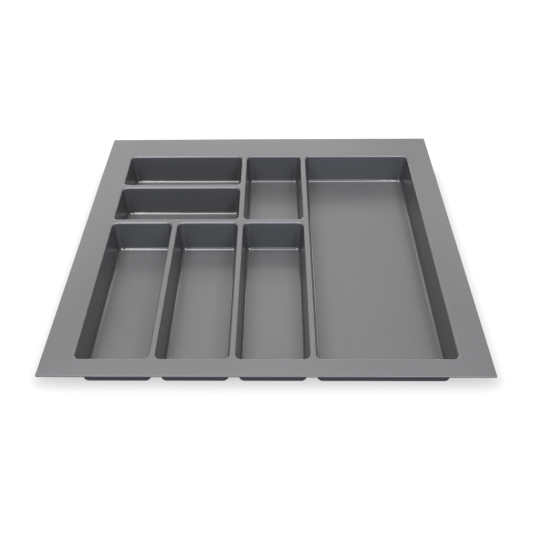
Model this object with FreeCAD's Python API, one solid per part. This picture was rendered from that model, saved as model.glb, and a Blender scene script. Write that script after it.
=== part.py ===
# Cutlery tray for a kitchen drawer: one sheet of plastic, vacuum formed into seven wells in a flat flange.
# Millimetres, +Z up, +X to the right and +Y to the back, as seen from the front of the drawer.
# The origin is on the surface that the wells stand on, below the middle of the flange's outline.
import FreeCAD, Part
import math
import os

# Outline of the sheet, trimmed to the drawer
tray_width = 540.0
tray_depth = 520.0
tray_height = 50.0
trim_corner_radius = 1.5

# Thickness of the sheet: flat land and flange as supplied, walls and floors thinned by the draw
sheet = 2.0
drawn_sheet = 1.5

# Flat flange, from the trimmed edge to the nearest well
left_flange_width = 39.5
right_flange_width = 38.7
front_flange_width = 27.6
rear_flange_width = 55.3

# Wells, measured where their walls would meet the top of the tray
column_width = 89.0
cross_well_depth = 79.4

# Lands between the wells: from column to column, and from row to row
column_divider = 8.5
row_divider = 9.6

# Walls, their corners seen from above, and their rounded edges
draft_degrees = 4.0
rear_corner_radius = 10.0
front_corner_radius = 6.0
floor_corner_radius = 6.0
lip_radius = 3.0
lip_back_radius = 1.0
floor_radius = 5.0

# Fillets stay a little narrower than the land or the corner that they run along
fillet_room_share = 0.9

# How far a cut runs past the face that it opens, and how near two heights count as one
overrun = 1.0
same_height = 0.001

draft = math.radians(draft_degrees)
half_right_angle = math.radians(45.0)

# The large well and the front wells take what the other wells and lands leave
large_well_width = (
    tray_width - left_flange_width - right_flange_width
    - 3 * (column_width + column_divider)
)
front_well_depth = (
    tray_depth - front_flange_width - rear_flange_width
    - 2 * (cross_well_depth + row_divider)
)


def spans(start, sizes, divider):
    """Lowest and highest place of each well in a line of wells with lands between them."""
    places = []
    low = start
    for size in sizes:
        places.append((low, low + size))
        low += size + divider
    return places


def seams(places, divider):
    """Where the sheet is divided: halfway across each land, and half a divider outside the end wells."""
    between = [(nearer[1] + further[0]) / 2 for nearer, further in zip(places, places[1:])]
    return [places[0][0] - divider / 2] + between + [places[-1][1] + divider / 2]


columns = spans(
    -tray_width / 2 + left_flange_width,
    [column_width, column_width, column_width, large_well_width],
    column_divider,
)
rows = spans(
    -tray_depth / 2 + front_flange_width,
    [front_well_depth, cross_well_depth, cross_well_depth],
    row_divider,
)
column_seams = seams(columns, column_divider)
row_seams = seams(rows, row_divider)

# First and last column, then first and last row, that each well covers
left_column, middle_column, right_column, large_column = range(len(columns))
front_row, middle_row, rear_row = range(len(rows))
wells = {
    "front_left_well": (left_column, left_column, front_row, front_row),
    "front_middle_well": (middle_column, middle_column, front_row, front_row),
    "front_right_well": (right_column, right_column, front_row, front_row),
    "middle_cross_well": (left_column, middle_column, middle_row, middle_row),
    "rear_cross_well": (left_column, middle_column, rear_row, rear_row),
    "rear_small_well": (right_column, right_column, middle_row, rear_row),
    "large_well": (large_column, large_column, front_row, rear_row),
}

# A fillet between a drafted wall and a level face reaches this many radii along each of them
reach_per_radius = math.tan(half_right_angle - draft / 2)
narrowest_half_land = min(column_divider, row_divider) / 2
lip_fillet = min(lip_radius, fillet_room_share * narrowest_half_land / reach_per_radius)
floor_fillet = min(floor_radius, fillet_room_share * floor_corner_radius)


def rounded_rectangle(x_span, y_span, z, front_radius, rear_radius):
    """Level closed wire of four sides and four quarter circles."""
    corners = [
        (x_span[1] - rear_radius, y_span[1] - rear_radius, rear_radius),
        (x_span[0] + rear_radius, y_span[1] - rear_radius, rear_radius),
        (x_span[0] + front_radius, y_span[0] + front_radius, front_radius),
        (x_span[1] - front_radius, y_span[0] + front_radius, front_radius),
    ]
    up = FreeCAD.Vector(0, 0, 1)
    arcs = []
    for quarter, (x, y, radius) in enumerate(corners):
        centre = FreeCAD.Vector(x, y, z)
        arcs.append(Part.makeCircle(radius, centre, up, 90 * quarter, 90 * quarter + 90))
    edges = []
    for arc, following in zip(arcs, arcs[1:] + arcs[:1]):
        edges.append(arc)
        edges.append(Part.makeLine(arc.lastVertex().Point, following.firstVertex().Point))
    return Part.Wire(edges)


def edges_at(shape, z, x_span, y_span):
    """Level edges of a shape at one height that lie inside a rectangle, clear of its sides."""
    inside = FreeCAD.BoundBox(
        x_span[0] + same_height, y_span[0] + same_height, z - same_height,
        x_span[1] - same_height, y_span[1] - same_height, z + same_height,
    )
    return [edge for edge in shape.Edges if inside.isInside(edge.BoundBox)]


def drafted_block(x_span, y_span, outside, z_low, z_high, edge_radius):
    """Solid between the walls of a well, grown past their inner faces by a width and rounded at its floor."""
    sections = []
    for z in (z_low, z_high):
        inset = (tray_height - z) * math.tan(draft) - outside
        rise_share = (z - drawn_sheet) / (tray_height - drawn_sheet)
        radii = []
        for top_radius in (front_corner_radius, rear_corner_radius):
            wall_radius = floor_corner_radius + (top_radius - floor_corner_radius) * rise_share
            radii.append(wall_radius + outside)
        x_inset = (x_span[0] + inset, x_span[1] - inset)
        y_inset = (y_span[0] + inset, y_span[1] - inset)
        sections.append(rounded_rectangle(x_inset, y_inset, z, *radii))
    block = Part.makeLoft(sections, True, True)
    return block.makeFillet(edge_radius, edges_at(block, z_low, x_span, y_span))


def plate(x_span, y_span):
    """Flat piece of sheet at the top of the tray."""
    corner = FreeCAD.Vector(x_span[0], y_span[0], tray_height - sheet)
    return Part.makeBox(x_span[1] - x_span[0], y_span[1] - y_span[0], sheet, corner)


def well(first_column, last_column, first_row, last_row):
    """One well with its lip and its half of the lands around it."""
    x_span = (columns[first_column][0], columns[last_column][1])
    y_span = (rows[first_row][0], rows[last_row][1])
    x_land = (column_seams[first_column], column_seams[last_column + 1])
    y_land = (row_seams[first_row], row_seams[last_row + 1])

    # The drawn pan is cut out of a block that stops inside the thickness of the land
    wall_width = drawn_sheet / math.cos(draft)
    pan_top = tray_height - sheet / 2
    pan = drafted_block(x_span, y_span, wall_width, 0, pan_top, floor_fillet + drawn_sheet)
    hollow = drafted_block(x_span, y_span, 0, drawn_sheet, tray_height + overrun, floor_fillet)
    shape = plate(x_land, y_land).fuse(pan).removeSplitter().cut(hollow)

    # The lip rolls over into the wall above, and the back of the sheet follows it below
    shape = shape.makeFillet(lip_fillet, edges_at(shape, tray_height, x_land, y_land))
    return shape.makeFillet(lip_back_radius, edges_at(shape, tray_height - sheet, x_land, y_land))


def end_flange(y_seam, y_edge):
    """Front or rear strip of the flange, across the whole tray, with the trimmed corners eased."""
    strip = plate((-tray_width / 2, tray_width / 2), (min(y_seam, y_edge), max(y_seam, y_edge)))
    upright = []
    for edge in strip.Edges:
        level = edge.BoundBox.ZLength < same_height
        at_edge = abs(edge.CenterOfMass.y - y_edge) < same_height
        if at_edge and not level:
            upright.append(edge)
    return strip.makeFillet(trim_corner_radius, upright)


def side_flange(x_seam, x_edge):
    """Left or right strip of the flange, between the front and rear strips."""
    return plate((min(x_seam, x_edge), max(x_seam, x_edge)), (row_seams[0], row_seams[-1]))


pieces = {name: well(*cover) for name, cover in wells.items()}
pieces["front_flange"] = end_flange(row_seams[0], -tray_depth / 2)
pieces["rear_flange"] = end_flange(row_seams[-1], tray_depth / 2)
pieces["left_flange"] = side_flange(column_seams[0], -tray_width / 2)
pieces["right_flange"] = side_flange(column_seams[-1], tray_width / 2)

os.makedirs("parts", exist_ok=True)
for name, shape in pieces.items():
    shape.exportStep(f"parts/{name}.step")
    print(name, "valid" if shape.isValid() else "not valid", len(shape.Solids), "solid", round(shape.Volume))
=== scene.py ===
import math

import bmesh
import bpy
from mathutils import Matrix, Vector


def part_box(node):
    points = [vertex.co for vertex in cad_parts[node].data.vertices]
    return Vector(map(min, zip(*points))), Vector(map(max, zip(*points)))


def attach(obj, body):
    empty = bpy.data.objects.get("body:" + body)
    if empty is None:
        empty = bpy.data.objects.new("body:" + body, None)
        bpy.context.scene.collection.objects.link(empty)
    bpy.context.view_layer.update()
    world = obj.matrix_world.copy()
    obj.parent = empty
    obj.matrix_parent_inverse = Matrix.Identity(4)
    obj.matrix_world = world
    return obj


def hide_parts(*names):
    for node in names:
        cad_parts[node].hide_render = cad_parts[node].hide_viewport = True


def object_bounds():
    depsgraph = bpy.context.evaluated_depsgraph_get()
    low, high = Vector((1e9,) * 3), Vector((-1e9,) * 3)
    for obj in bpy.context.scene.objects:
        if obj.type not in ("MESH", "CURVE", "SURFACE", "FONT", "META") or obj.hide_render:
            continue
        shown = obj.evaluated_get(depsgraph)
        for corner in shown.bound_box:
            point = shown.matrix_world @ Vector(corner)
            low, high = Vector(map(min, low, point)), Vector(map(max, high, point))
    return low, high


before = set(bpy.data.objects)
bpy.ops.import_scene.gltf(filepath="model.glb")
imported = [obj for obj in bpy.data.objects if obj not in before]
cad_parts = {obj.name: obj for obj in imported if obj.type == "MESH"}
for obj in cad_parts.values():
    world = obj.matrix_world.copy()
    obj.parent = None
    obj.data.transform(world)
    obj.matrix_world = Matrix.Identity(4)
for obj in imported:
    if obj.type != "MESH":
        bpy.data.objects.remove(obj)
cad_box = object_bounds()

# Lengths are in millimetres, and MM turns them into metres
MM = 0.001

# Camera: it stands in front of the drawer and looks down into the tray
IMAGE_PIXELS = 533
FOCAL_PIXELS = 662.57
SENSOR_WIDTH = 36.0
CAMERA_PLACE = (13.63, -743.42, 665.94)
CAMERA_YAW = 1.172
CAMERA_PITCH = 42.433
CAMERA_ROLL = -0.84

# Sheet: as supplied on the flange and the lands, thinner on the drawn walls and floors
SHEET = 2.0
DRAWN_SHEET = 1.5

# Lands between the wells: from column to column, and from row to row
COLUMN_DIVIDER = 8.5
ROW_DIVIDER = 9.6

# Walls of the wells and their rounded edges
DRAFT = math.radians(4.0)
REAR_CORNER_RADIUS = 10.0
FRONT_CORNER_RADIUS = 6.0
FLOOR_CORNER_RADIUS = 6.0
LIP_RADIUS = 3.0
FLOOR_RADIUS = 5.0
CORNER_STEPS = 10
LIP_STEPS = 7
FLOOR_STEPS = 8

# Flange: cells of its grid, its eased corners and its eased cut edges
FLANGE_CELL = 9.0
TRIM_CORNER_RADIUS = 1.5
TRIM_CORNER_STEPS = 5
TRIM_EASE = 0.6
TRIM_EASE_STEPS = 3

# The rear strip of the flange isn't quite flat: its trimmed edge droops towards the left end.
# How far it droops there, and the place across the tray where that starts
DROOP = 0.8
DROOP_START = -40.0

# How near two places count as one, and the bend past which an edge stays sharp
SAME_PLACE = 0.01
SMOOTH_ANGLE = math.radians(35.0)

# Tone of the sheet: a grey that drifts between two tones, in clouds of one size and in bands with a width, a
# length and a height. On the walls, floor edges and corners of the wells, a share of a darker tone is painted
# shade
SHEET_TONES = ("3C3C3D", "434344")
CLOUD = 70.0
DRAW_BAND = (22.0, 260.0, 60.0)
WELL_PAINTED_SHADE_TONE = "252628"
WELL_PAINTED_SHADE_SHARE = 0.4

# Finish of the sheet: its grain is about 0.4 mm across, drawn coarser so that it shows in the render
SHEET_IOR = 1.57
GRAIN = 2.2
GRAIN_DEPTH = 0.012
GRAIN_RELIEF = 0.5
FLAT_ROUGHNESS = 0.31
STRETCHED_ROUGHNESS = 0.12
CLOUD_ROUGHNESS = 0.05

# How stretched a wall counts, between 0 on a flat and 1 midway round a floor edge
WALL_STRETCH = 0.25

# Cut edge of the sheet, with the marks of the saw's teeth: their width along the edges and their height
# Tones of the cut edge: paler than the sheet, partly as sawn plastic is and partly as a painted reflection of
# the table
SAWN_AND_PAINTED_REFLECTION_TONES = ("8C8C8E", "A6A6A8")
SAWN_ROUGHNESS = 0.55
SAW_LINE = (0.9, 0.9, 6.0)
SAW_DEPTH = 0.03
SAW_RELIEF = 0.5

# White table and the cove around it
TABLE_SIZE = 12000.0
TABLE_GAP = 0.2
TABLE_TONE = "323232"
TABLE_ROUGHNESS = 0.7
COVE_RADIUS = 5500.0
COVE_HEIGHT = 6000.0
COVE_SIDES = 96

# The table also glows, less under the tray than away from it, which paints the tray's shadow: where the full
# glow starts, measured from the tray's sides and from its front and rear, and the width over which it fades
GLOW_IN_PAINTED_SHADOW = 0.6
GLOW_AWAY = 1.02
PAINTED_SHADOW_MARGIN = (44.0, -2.0)
PAINTED_SHADOW_FADE = 40.0

# Soft lights: place, target and size, how bright each looks, and its colour
WHITE = "FFFFFF"
COOL_WHITE = "D2DFFF"
LIGHTS = {
    "left_softbox": ((-490, -200, 1600), (-490, -200, 0), (680, 1500), 10.3, WHITE),
    "middle_bounce": ((0, -200, 1600), (0, -200, 0), (300, 1500), 5.0, WHITE),
    "right_softbox": ((490, -200, 1600), (490, -200, 0), (680, 1500), 6.3, WHITE),
    "front_left_box": ((-800, -1250, 1500), (0, 0, 0), (450, 500), 25.5, WHITE),
    "front_right_box": ((800, -1250, 1500), (0, 0, 0), (450, 500), 36.0, WHITE),
    "rear_overhead": ((0, 800, 1600), (0, 800, 0), (2100, 500), 1.0, WHITE),
    "backdrop_foot": ((0, 2000, 200), (0, 0, 0), (2400, 400), 7.7, WHITE),
    "rear_left_side": ((-1225, 1225, 1000), (0, 0, 0), (750, 800), 2.3, WHITE),
    "rear_right_side": ((1292, 1292, 813), (0, 0, 0), (750, 400), 5.2, WHITE),
    "front_fill": ((0, -1800, 800), (0, 0, 0), (2000, 800), 2.9, COOL_WHITE),
    "front_window": ((0, -1900, 250), (0, 0, 50), (2000, 350), 5.4, COOL_WHITE),
}

# Backdrop behind the table, unevenly lit: rows of cells at three angles above the tray, and how bright the
# left, middle and right cell of each row look
BACKDROP = {28: (2.0, 2.9, 1.0), 38: (2.4, 1.15, 2.2), 48: (0.2, 2.8, 1.15)}
BACKDROP_REACH = 2000.0
BACKDROP_CELL = (800.0, 350.0)

# Faint light from the room all round
ROOM_LIGHT = 0.12

# Nodes of the tray
WELLS = (
    "front_left_well", "front_middle_well", "front_right_well", "middle_cross_well",
    "rear_cross_well", "rear_small_well", "large_well",
)
FLANGES = ("front_flange", "rear_flange", "left_flange", "right_flange")


def node_box(node):
    """Lowest and highest corner of a node, in millimetres."""
    low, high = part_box(node)
    return [c / MM for c in low], [c / MM for c in high]


# Camera
def add_camera():
    """Camera of the photograph's view, the first thing in the scene."""
    bpy.ops.object.camera_add()
    camera = bpy.context.object
    camera.name = "camera"
    camera.data.sensor_width = SENSOR_WIDTH
    camera.data.lens = FOCAL_PIXELS / IMAGE_PIXELS * SENSOR_WIDTH
    turn = (
        Matrix.Rotation(math.radians(CAMERA_YAW), 4, "Z")
        @ Matrix.Rotation(math.radians(90 - CAMERA_PITCH), 4, "X")
        @ Matrix.Rotation(math.radians(CAMERA_ROLL), 4, "Z")
    )
    camera.matrix_world = Matrix.Translation([c * MM for c in CAMERA_PLACE]) @ turn
    bpy.context.scene.camera = camera


# Materials
def linear(colour):
    """Linear RGBA of an sRGB hex colour."""
    channels = [int(colour[i:i + 2], 16) / 255 for i in (0, 2, 4)]
    return [c / 12.92 if c <= 0.04045 else ((c + 0.055) / 1.055) ** 2.4 for c in channels] + [1.0]


def add_node(material, kind, settings, inputs):
    """Adds a node, sets its settings, and gives each input a value or links it to another node's output."""
    node = material.node_tree.nodes.new(kind)
    for key, value in settings.items():
        setattr(node, key, value)
    for key, value in inputs.items():
        if isinstance(value, bpy.types.NodeSocket):
            material.node_tree.links.new(value, node.inputs[key])
        else:
            node.inputs[key].default_value = value
    return node


def new_material(name):
    """Material without any nodes yet."""
    material = bpy.data.materials.new(name)
    material.use_nodes = True
    material.node_tree.nodes.clear()
    return material


def formed_polystyrene():
    """Grey polystyrene sheet with a fine embossed grain, vacuum formed into a mould.

    The grain gives the flats a satin, blurred sheen. Where the sheet stretches into the wells, the grain
    washes out, so the face turns glossier, and the floor edges and corners, which stretch most, carry crisp
    lines of light. The walls, floor edges and corners also get a darker tone as painted shade, so the walls
    look darker than the flats.
    """
    material = new_material("vacuum_formed_polystyrene")
    place = add_node(material, "ShaderNodeTexCoord", {}, {}).outputs["Object"]

    # The tone drifts a little: cloudy all over, and in faint bands along the draw
    cloud = add_node(material, "ShaderNodeTexNoise", {}, {
        "Vector": place, "Scale": 1 / (CLOUD * MM), "Detail": 3.0, "Roughness": 0.55,
    })
    banded = add_node(material, "ShaderNodeMapping", {}, {
        "Vector": place, "Scale": [1 / (width * MM) for width in DRAW_BAND],
    })
    band = add_node(material, "ShaderNodeTexNoise", {}, {
        "Vector": banded.outputs["Vector"], "Scale": 1.0, "Detail": 2.0, "Roughness": 0.5,
    })
    drift = add_node(material, "ShaderNodeMath", {"operation": "MULTIPLY"}, {
        0: cloud.outputs["Fac"], 1: band.outputs["Fac"],
    })
    tone = add_node(material, "ShaderNodeMix", {"data_type": "RGBA"}, {
        "Factor": drift.outputs["Value"], "A": linear(SHEET_TONES[0]), "B": linear(SHEET_TONES[1]),
    })

    # Painted shade: a darker tone mixed in on everything in the wells that is stretched as much as the walls,
    # or more
    stretch = add_node(material, "ShaderNodeAttribute", {"attribute_name": "stretch"}, {}).outputs["Fac"]
    painted_shade = add_node(material, "ShaderNodeMapRange", {}, {
        "Value": stretch, "From Max": WALL_STRETCH, "To Max": WELL_PAINTED_SHADE_SHARE,
    })
    colour = add_node(material, "ShaderNodeMix", {"data_type": "RGBA"}, {
        "Factor": painted_shade.outputs["Result"], "A": tone.outputs["Result"], "B": linear(WELL_PAINTED_SHADE_TONE),
    })

    # Grain on the flats, washed out where the sheet is stretched
    grain = add_node(material, "ShaderNodeTexNoise", {}, {
        "Vector": place, "Scale": 1 / (GRAIN * MM), "Detail": 2.0, "Roughness": 0.6,
    })
    dullness = add_node(material, "ShaderNodeMapRange", {}, {
        "Value": stretch, "To Min": FLAT_ROUGHNESS, "To Max": STRETCHED_ROUGHNESS,
    })
    sheen = add_node(material, "ShaderNodeMath", {"operation": "MULTIPLY_ADD"}, {
        0: cloud.outputs["Fac"], 1: CLOUD_ROUGHNESS, 2: dullness.outputs["Result"],
    })
    relief = add_node(material, "ShaderNodeMapRange", {}, {
        "Value": stretch, "To Min": GRAIN_RELIEF, "To Max": 0.0,
    })
    bump = add_node(material, "ShaderNodeBump", {}, {
        "Strength": relief.outputs["Result"],
        "Distance": GRAIN_DEPTH * MM,
        "Height": grain.outputs["Fac"],
    })
    shader = add_node(material, "ShaderNodeBsdfPrincipled", {}, {
        "Base Color": colour.outputs["Result"],
        "Roughness": sheen.outputs["Value"],
        "IOR": SHEET_IOR,
        "Normal": bump.outputs["Normal"],
    })
    add_node(material, "ShaderNodeOutputMaterial", {}, {"Surface": shader.outputs["BSDF"]})
    return material


def sawn_polystyrene():
    """Cut edge of the same sheet: sawn, so it is matt and lined across by the teeth, and paler than the
    sheet, partly as sawn plastic is and partly as a painted reflection of the table, which the edge doesn't
    mirror.
    """
    material = new_material("sawn_polystyrene_edge")
    place = add_node(material, "ShaderNodeTexCoord", {}, {}).outputs["Object"]
    lined = add_node(material, "ShaderNodeMapping", {}, {
        "Vector": place, "Scale": [1 / (width * MM) for width in SAW_LINE],
    })
    lines = add_node(material, "ShaderNodeTexNoise", {}, {
        "Vector": lined.outputs["Vector"], "Scale": 1.0, "Detail": 2.0, "Roughness": 0.6,
    })
    tone = add_node(material, "ShaderNodeMix", {"data_type": "RGBA"}, {
        "Factor": lines.outputs["Fac"], "A": linear(SAWN_AND_PAINTED_REFLECTION_TONES[0]), "B": linear(SAWN_AND_PAINTED_REFLECTION_TONES[1]),
    })
    bump = add_node(material, "ShaderNodeBump", {}, {
        "Strength": SAW_RELIEF, "Distance": SAW_DEPTH * MM, "Height": lines.outputs["Fac"],
    })
    shader = add_node(material, "ShaderNodeBsdfPrincipled", {}, {
        "Base Color": tone.outputs["Result"],
        "Roughness": SAWN_ROUGHNESS,
        "IOR": SHEET_IOR,
        "Normal": bump.outputs["Normal"],
    })
    add_node(material, "ShaderNodeOutputMaterial", {}, {"Surface": shader.outputs["BSDF"]})
    return material


def table_acrylic(tray_reach):
    """White acrylic shooting table that glows, matt white: brighter away from the tray, with a painted shadow
    under it.
    """
    painted_shadow_edge = [reach + margin for reach, margin in zip(tray_reach, PAINTED_SHADOW_MARGIN)]
    material = new_material("glowing_white_acrylic_with_painted_shadow")
    place = add_node(material, "ShaderNodeTexCoord", {}, {}).outputs["Object"]
    aside = add_node(material, "ShaderNodeVectorMath", {"operation": "ABSOLUTE"}, {0: place})
    past = add_node(material, "ShaderNodeVectorMath", {"operation": "SUBTRACT"}, {
        0: aside.outputs["Vector"], 1: [painted_shadow_edge[0] * MM, painted_shadow_edge[1] * MM, 0.0],
    })
    axes = add_node(material, "ShaderNodeSeparateXYZ", {}, {"Vector": past.outputs["Vector"]})
    # Painted shadow: the glow fades down over a band round the tray, to its lowest under it
    shades = [
        add_node(material, "ShaderNodeMapRange", {"interpolation_type": "SMOOTHSTEP"}, {
            "Value": axes.outputs[axis],
            "From Min": -PAINTED_SHADOW_FADE * MM, "From Max": 0.0, "To Min": 1.0, "To Max": 0.0,
        }).outputs["Result"]
        for axis in ("X", "Y")
    ]
    under = add_node(material, "ShaderNodeMath", {"operation": "MULTIPLY"}, {0: shades[0], 1: shades[1]})
    glow = add_node(material, "ShaderNodeMapRange", {}, {
        "Value": under.outputs["Value"], "To Min": GLOW_AWAY, "To Max": GLOW_IN_PAINTED_SHADOW,
    })
    shader = add_node(material, "ShaderNodeBsdfPrincipled", {}, {
        "Base Color": linear(TABLE_TONE),
        "Roughness": TABLE_ROUGHNESS,
        "Specular IOR Level": 0.0,
        "Emission Color": linear(WHITE),
        "Emission Strength": glow.outputs["Result"],
    })
    add_node(material, "ShaderNodeOutputMaterial", {}, {"Surface": shader.outputs["BSDF"]})
    return material


# Modelling
def start_piece(name):
    """A new mesh at the origin, in edit mode and empty, with nothing else selected."""
    bpy.ops.object.select_all(action="DESELECT")
    bpy.ops.mesh.primitive_plane_add(size=MM, enter_editmode=True)
    piece = bpy.context.object
    piece.name = name
    piece.data.name = name
    bpy.ops.mesh.delete(type="VERT")
    return piece


def add_rectangle(x_span, y_span, z):
    """Level rectangle at its place, selected."""
    bpy.ops.mesh.select_all(action="DESELECT")
    middle = ((x_span[0] + x_span[1]) / 2 * MM, (y_span[0] + y_span[1]) / 2 * MM, z * MM)
    size = (x_span[1] - x_span[0], y_span[1] - y_span[0], 1)
    bpy.ops.mesh.primitive_plane_add(size=MM, location=middle)
    bpy.ops.transform.resize(value=size, center_override=middle)


def select_verts(piece, wanted):
    """Selects the vertices that satisfy a test on their places in millimetres."""
    bpy.ops.mesh.select_mode(type="VERT")
    bpy.ops.mesh.select_all(action="DESELECT")
    mesh = bmesh.from_edit_mesh(piece.data)
    for vert in mesh.verts:
        vert.select_set(wanted(vert.co / MM))
    bmesh.update_edit_mesh(piece.data)


def select_edges(piece, wanted, level=False):
    """Selects the edges, or only the level ones, whose two ends both satisfy a test on their places."""
    bpy.ops.mesh.select_mode(type="EDGE")
    bpy.ops.mesh.select_all(action="DESELECT")
    mesh = bmesh.from_edit_mesh(piece.data)
    for edge in mesh.edges:
        ends = [vert.co / MM for vert in edge.verts]
        flat = abs(ends[0].z - ends[1].z) < SAME_PLACE
        edge.select_set(all(wanted(end) for end in ends) and (flat or not level))
    bmesh.update_edit_mesh(piece.data)


def apply_modifier(piece, kind, **settings):
    """Adds a modifier with its settings and applies it to the mesh."""
    modifier = piece.modifiers.new(kind.lower(), kind)
    for key, value in settings.items():
        setattr(modifier, key, value)
    bpy.ops.object.modifier_apply(modifier=modifier.name)


def set_weights(piece, name, weight_at):
    """Vertex group with a weight worked out from each vertex's place in millimetres."""
    group = piece.vertex_groups.new(name=name)
    for vertex in piece.data.vertices:
        group.add([vertex.index], weight_at(vertex.co / MM), "REPLACE")


def set_stretch(piece, x_open, y_open, top):
    """Attribute for the finish and the painted shade: how much the sheet is stretched at each vertex of a
    well.

    It is 1 midway round the floor edges and the corners, less on the walls up to the middle of the lip, and 0
    on the floor, the rest of the lip and the land.
    """
    wall_top = top - LIP_RADIUS / 2
    middle = [(span[0] + span[1]) / 2 for span in (x_open, y_open)]
    half = [(span[1] - span[0]) / 2 for span in (x_open, y_open)]
    stretch = piece.data.attributes.new("stretch", "FLOAT", "POINT")
    for vertex, value in zip(piece.data.vertices, stretch.data):
        place = vertex.co / MM
        if not DRAWN_SHEET + SAME_PLACE < place.z < wall_top:
            continue

        # Shares of the turn from the floor into the wall, and of the turn round the corner
        rise = (place.z - DRAWN_SHEET) / FLOOR_RADIUS
        round_floor = math.acos(max(-1.0, 1 - rise)) / (math.pi / 2 - DRAFT)
        wall_inset = (top - place.z) * math.tan(DRAFT)
        reach = corner_radius_at(place.y > middle[1], wall_inset, place.z, top) + wall_inset
        past = [abs(place[axis] - middle[axis]) - half[axis] + reach for axis in (0, 1)]
        round_corner = math.atan2(*past) / (math.pi / 2) if min(past) > 0 else 0.0

        # The sheet is stretched most midway round each turn, and past the middle of the floor edge it is
        # stretched at least as much as a wall
        stretches = [4 * share * (1 - share) for share in (round_floor, round_corner)]
        value.value = max(*stretches, WALL_STRETCH if round_floor > 0.5 else 0.0)


def finish_piece(piece, node, materials):
    """Smooths a finished mesh, gives it its materials, and puts it in place of its node."""
    bpy.ops.object.shade_smooth_by_angle(angle=SMOOTH_ANGLE)
    apply_modifier(piece, "WEIGHTED_NORMAL", keep_sharp=True)
    for material in materials:
        piece.data.materials.append(material)
    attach(piece, "root")
    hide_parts(node)


# Wells
def well_section(top):
    """Section of a well from its land to its floor: how far inside the opening, and how high."""
    turn = math.pi / 2 - DRAFT
    lip_reach = LIP_RADIUS * math.tan(turn / 2)
    floor_reach = FLOOR_RADIUS * math.tan(turn / 2)
    floor_inset = (top - DRAWN_SHEET) * math.tan(DRAFT)
    section = []
    for step in range(LIP_STEPS + 1):
        angle = turn * step / LIP_STEPS
        section.append((LIP_RADIUS * math.sin(angle) - lip_reach, top - LIP_RADIUS * (1 - math.cos(angle))))
    for step in range(FLOOR_STEPS + 1):
        angle = turn * (1 - step / FLOOR_STEPS)
        inside = floor_inset + floor_reach - FLOOR_RADIUS * math.sin(angle)
        section.append((inside, DRAWN_SHEET + FLOOR_RADIUS * (1 - math.cos(angle))))
    return section


def corner_radius_at(rear, inside, z, top):
    """Radius of a level outline's corners: the wall's at its height, less how far inside the wall it is."""
    rise_share = (z - DRAWN_SHEET) / (top - DRAWN_SHEET)
    top_radius = REAR_CORNER_RADIUS if rear else FRONT_CORNER_RADIUS
    wall_radius = FLOOR_CORNER_RADIUS + (top_radius - FLOOR_CORNER_RADIUS) * rise_share
    return wall_radius + (top - z) * math.tan(DRAFT) - inside


def make_well(node, materials):
    """One well with its lip and its half of the lands around it, as thick as the sheet is there."""
    low, high = node_box(node)
    top = high[2]
    x_open = (low[0] + COLUMN_DIVIDER / 2, high[0] - COLUMN_DIVIDER / 2)
    y_open = (low[1] + ROW_DIVIDER / 2, high[1] - ROW_DIVIDER / 2)
    y_middle = (low[1] + high[1]) / 2
    piece = start_piece("formed_" + node)

    # Level outlines from the lip down to the floor, joined by bridging
    for inside, z in well_section(top):
        add_rectangle(
            (x_open[0] + inside, x_open[1] - inside),
            (y_open[0] + inside, y_open[1] - inside),
            z,
        )
        for rear in (False, True):
            select_verts(
                piece,
                lambda place: abs(place.z - z) < SAME_PLACE and (place.y > y_middle) == rear,
            )
            radius = corner_radius_at(rear, inside, z, top)
            bpy.ops.mesh.bevel(affect="VERTICES", offset=radius * MM, segments=CORNER_STEPS)
    bpy.ops.mesh.select_all(action="SELECT")
    bpy.ops.mesh.delete(type="ONLY_FACE")
    bpy.ops.mesh.select_all(action="SELECT")
    bpy.ops.mesh.bridge_edge_loops()

    # Floor, and the land out to the seams
    select_edges(piece, lambda place: place.z < DRAWN_SHEET + SAME_PLACE)
    bpy.ops.mesh.edge_face_add()
    add_rectangle((low[0], high[0]), (low[1], high[1]), top)
    bpy.ops.mesh.delete(type="ONLY_FACE")
    select_edges(piece, lambda place: place.z > top - SAME_PLACE)
    bpy.ops.mesh.fill()
    bpy.ops.mesh.select_all(action="SELECT")
    bpy.ops.mesh.normals_make_consistent(inside=False)
    bpy.ops.object.mode_set(mode="OBJECT")

    # Thickness below and outside this surface: the full sheet on the land, thinner once it is drawn
    drawn_from = top - LIP_RADIUS * (1 - math.sin(DRAFT))
    set_weights(piece, "undrawn", lambda place: max(0.0, (place.z - drawn_from) / (top - drawn_from)))
    apply_modifier(
        piece, "SOLIDIFY", thickness=SHEET * MM, offset=-1.0, use_even_offset=True,
        vertex_group="undrawn", thickness_vertex_group=DRAWN_SHEET / SHEET,
    )
    set_stretch(piece, x_open, y_open, top)
    finish_piece(piece, node, materials)


# Flange
def on_outline(place, tray_reach):
    """Whether a place in millimetres is on the tray's trimmed outline, with its eased corners."""
    past_x = abs(place.x) - (tray_reach[0] - TRIM_CORNER_RADIUS)
    past_y = abs(place.y) - (tray_reach[1] - TRIM_CORNER_RADIUS)
    if past_x > 0 and past_y > 0:
        return math.hypot(past_x, past_y) > TRIM_CORNER_RADIUS - SAME_PLACE
    return max(past_x, past_y) > TRIM_CORNER_RADIUS - SAME_PLACE


def droop_at(place, low, high):
    """Share of the droop: none at the wells, growing towards the rear edge and the left end."""
    across = (place.y - low[1]) / (high[1] - low[1])
    fade = (DROOP_START - place.x) / (DROOP_START - low[0])
    return across ** 2 * min(1.0, max(0.0, fade))


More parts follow.
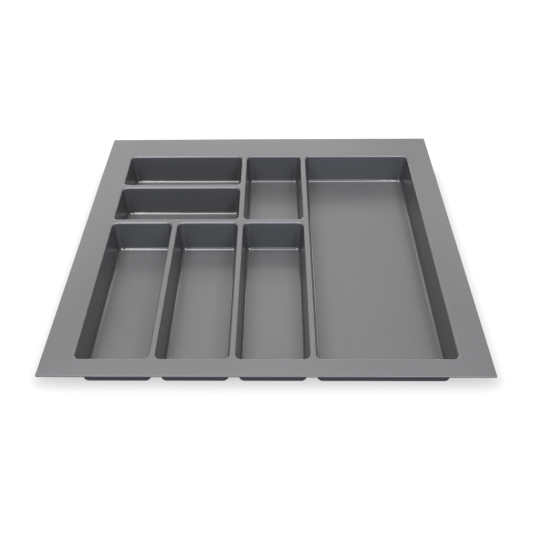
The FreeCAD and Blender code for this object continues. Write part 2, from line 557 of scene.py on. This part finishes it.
def make_flange(node, tray_reach, materials):
    """Strip of the flange, flat as supplied, with sawn edges along the tray's outline."""
    low, high = node_box(node)
    piece = start_piece("formed_" + node)
    cells = [max(1, round((high[axis] - low[axis]) / FLANGE_CELL)) for axis in (0, 1)]
    middle = [(low[axis] + high[axis]) / 2 * MM for axis in (0, 1)] + [high[2] * MM]
    size = (high[0] - low[0], high[1] - low[1], 1)
    bpy.ops.mesh.primitive_grid_add(
        x_subdivisions=cells[0], y_subdivisions=cells[1], size=MM, location=middle,
    )
    bpy.ops.transform.resize(value=size, center_override=middle)

    # Eased corners of the outline, then the thickness of the sheet with its cut edge
    corner = [reach - SAME_PLACE for reach in tray_reach]
    select_verts(piece, lambda place: abs(place.x) > corner[0] and abs(place.y) > corner[1])
    bpy.ops.mesh.bevel(affect="VERTICES", offset=TRIM_CORNER_RADIUS * MM, segments=TRIM_CORNER_STEPS)
    bpy.ops.mesh.select_all(action="SELECT")
    bpy.ops.mesh.normals_make_consistent(inside=False)
    bpy.ops.object.mode_set(mode="OBJECT")
    apply_modifier(piece, "SOLIDIFY", thickness=SHEET * MM, offset=-1.0, material_offset_rim=1)

    # The saw's burr is scraped off both edges of the cut
    bpy.ops.object.mode_set(mode="EDIT")
    select_edges(piece, lambda place: on_outline(place, tray_reach), level=True)
    bpy.ops.mesh.bevel(affect="EDGES", offset=TRIM_EASE * MM, segments=TRIM_EASE_STEPS)
    bpy.ops.object.mode_set(mode="OBJECT")
    if node == "rear_flange":
        set_weights(piece, "droop", lambda place: droop_at(place, low, high))
        apply_modifier(
            piece, "DISPLACE", strength=-DROOP * MM, mid_level=0.0, direction="Z", vertex_group="droop",
        )
    finish_piece(piece, node, materials)


# Stage
def add_table(tray_reach):
    """Table under the tray, and a cove of the same white around it."""
    bpy.ops.object.select_all(action="DESELECT")
    bpy.ops.mesh.primitive_plane_add(size=TABLE_SIZE * MM, location=(0, 0, -TABLE_GAP * MM))
    table = bpy.context.object
    table.name = "shooting_table"
    table.data.materials.append(table_acrylic(tray_reach))

    # Its white stands for a plain background, which the sheet doesn't mirror
    table.visible_glossy = False

    # A white cove closes the background all round, and sends no light to the tray
    bpy.ops.mesh.primitive_cylinder_add(
        vertices=COVE_SIDES, radius=COVE_RADIUS * MM, depth=COVE_HEIGHT * MM, end_fill_type="NOTHING",
    )
    cove = bpy.context.object
    cove.name = "white_cove"
    cove.data.materials.append(table.data.materials[0])
    cove.visible_diffuse = False
    cove.visible_glossy = False
    cove.visible_shadow = False


def add_panel(name, place, target, size, radiance, colour):
    """Soft rectangular light of an even radiance, facing its target."""
    bpy.ops.object.light_add(type="AREA", location=[c * MM for c in place])
    light = bpy.context.object
    light.name = name
    light.data.shape = "RECTANGLE"
    light.data.size = size[0] * MM
    light.data.size_y = size[1] * MM
    light.data.energy = radiance * math.pi * light.data.size * light.data.size_y
    light.data.color = linear(colour)[:3]
    direction = Vector([b - a for a, b in zip(place, target)])
    light.rotation_euler = direction.to_track_quat("-Z", "Y").to_euler()


def add_lights():
    """The soft lights, the cells of the backdrop and the light of the room."""
    for name, panel in LIGHTS.items():
        add_panel(name, *panel)
    for degrees, radiances in BACKDROP.items():
        y = BACKDROP_REACH * math.cos(math.radians(degrees))
        z = BACKDROP_REACH * math.sin(math.radians(degrees))
        for column, radiance in enumerate(radiances):
            x = (column - 1) * BACKDROP_CELL[0]
            name = f"backdrop_{degrees}_{column}"
            add_panel(name, (x, y, z), (x, 0, 0), BACKDROP_CELL, radiance, WHITE)
    world = bpy.data.worlds.new("studio")
    world.use_nodes = True
    background = world.node_tree.nodes["Background"]
    background.inputs["Color"].default_value = linear(WHITE)
    background.inputs["Strength"].default_value = ROOM_LIGHT
    bpy.context.scene.world = world
    bpy.context.scene.view_settings.view_transform = "Standard"


# The scene: camera, tray, stage and lights
add_camera()
formed_sheet = formed_polystyrene()
sawn_edge = sawn_polystyrene()

# How far the tray reaches from the origin: to the right, to the back and up
tray_reach = [c / MM for c in cad_box[1]]
for well_node in WELLS:
    make_well(well_node, [formed_sheet])
for flange_node in FLANGES:
    make_flange(flange_node, tray_reach, [formed_sheet, sawn_edge])
add_table(tray_reach)
add_lights()
